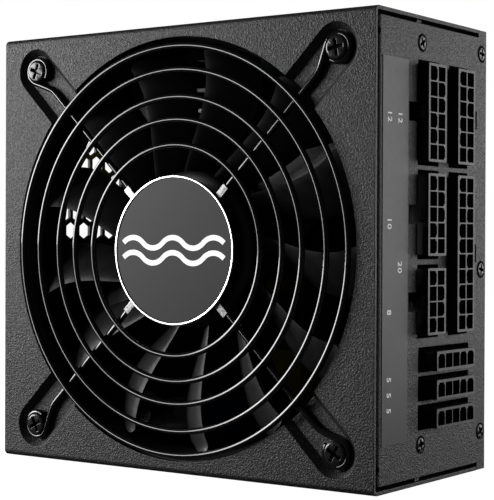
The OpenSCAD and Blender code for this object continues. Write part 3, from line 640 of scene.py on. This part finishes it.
# ---------------------------------------------------------------- studio
VIEW_TURN = 35.407
VIEW_LIFT = 0.341
VIEW_ROLL = 0.2325
CAMERA_PLACE = (0.26165, -0.36514, 0.06488)
LENS_MM = 109.70
ROOM_LIGHT = 0.03
FLOOR_HALF = 4.0
FLOOR_DROP = 0.0002
FLOOR_GLOW = 0.97


def area_light(name, place, aim, wide, tall, power):
    data = bpy.data.lights.new(name, "AREA")
    data.energy = power
    data.shape = "RECTANGLE"
    data.size = wide
    data.size_y = tall
    lamp = bpy.data.objects.new(name, data)
    lamp.location = place
    lamp.rotation_mode = "QUATERNION"
    lamp.rotation_quaternion = (Vector(aim) - Vector(place)).to_track_quat("-Z", "Y")
    bpy.context.scene.collection.objects.link(lamp)
    return lamp


def studio():
    """A pale floor in front of white, a dim room, and three area lights."""
    world = bpy.data.worlds.new("studio")
    bpy.context.scene.world = world
    world.use_nodes = True
    tree = world.node_tree
    tree.nodes.clear()
    seen = tree.nodes.new("ShaderNodeLightPath").outputs["Is Camera Ray"]
    white = tree.nodes.new("ShaderNodeBackground")
    white.inputs["Color"].default_value = (1, 1, 1, 1)
    dim = tree.nodes.new("ShaderNodeBackground")
    dim.inputs["Color"].default_value = (*grey(ROOM_LIGHT), 1)
    pick = tree.nodes.new("ShaderNodeMixShader")
    tree.links.new(seen, pick.inputs[0])
    tree.links.new(dim.outputs[0], pick.inputs[1])
    tree.links.new(white.outputs[0], pick.inputs[2])
    out = tree.nodes.new("ShaderNodeOutputWorld")
    tree.links.new(pick.outputs[0], out.inputs[0])

    floor_mesh = bpy.data.meshes.new("studio_floor")
    corners = [(x * FLOOR_HALF, y * FLOOR_HALF, 0) for x, y in ((-1, -1), (1, -1), (1, 1), (-1, 1))]
    floor_mesh.from_pydata(corners, [], [(0, 1, 2, 3)])
    floor = bpy.data.objects.new("studio_floor", floor_mesh)
    floor.location.z = -FLOOR_DROP
    paint = bpy.data.materials.new("studio_floor")
    paint.use_nodes = True
    surface = paint.node_tree.nodes["Principled BSDF"]
    surface.inputs["Base Color"].default_value = (0.9, 0.9, 0.9, 1)
    surface.inputs["Roughness"].default_value = 1.0
    surface.inputs["Specular IOR Level"].default_value = 0.0
    surface.inputs["Emission Color"].default_value = (1, 1, 1, 1)
    surface.inputs["Emission Strength"].default_value = FLOOR_GLOW
    floor_mesh.materials.append(paint)
    floor.visible_glossy = False
    floor.visible_diffuse = False
    floor.visible_shadow = False
    bpy.context.scene.collection.objects.link(floor)

    middle = (0, 0, MID_Z)
    area_light("key_left", (-0.733, -0.42, 0.215), middle, 0.48, 0.30, 6.4)
    # The glint reaches only the wires and the badge's bright parts.
    wires = bpy.data.collections.new("wires")
    for name in ("wire_rings", "wire_legs", "badge_rim", "badge_emblem"):
        wires.objects.link(NODES.get(name) or bpy.data.objects[name])
    glint = area_light("wire_glint", (-0.56, -0.64, 0.08), middle, 0.30, 0.30, 2.6)
    glint.light_linking.receiver_collection = wires
    area_light("panel_side", (0.55, 0.73, 0.14), middle, 0.92, 0.42, 2.9)


def camera():
    """At the height of the object's middle, over a third of the way round to the socket side."""
    data = bpy.data.cameras.new("camera")
    data.lens = LENS_MM
    data.sensor_width = 36
    data.clip_start = 0.01
    cam = bpy.data.objects.new("camera", data)
    turn, lift, roll = (math.radians(a) for a in (VIEW_TURN, VIEW_LIFT, VIEW_ROLL))
    right = Vector((math.cos(turn), math.sin(turn), 0))
    back = Vector((math.sin(turn) * math.cos(lift), -math.cos(turn) * math.cos(lift), math.sin(lift)))
    up = back.cross(right)
    rolled_right = right * math.cos(roll) + up * math.sin(roll)
    rolled_up = up * math.cos(roll) - right * math.sin(roll)
    axes = Matrix((rolled_right, rolled_up, back)).transposed().to_4x4()
    cam.matrix_world = Matrix.Translation(CAMERA_PLACE) @ axes
    bpy.context.scene.collection.objects.link(cam)
    bpy.context.scene.camera = cam


studio()
camera()
bpy.context.scene.view_settings.view_transform = "Standard"
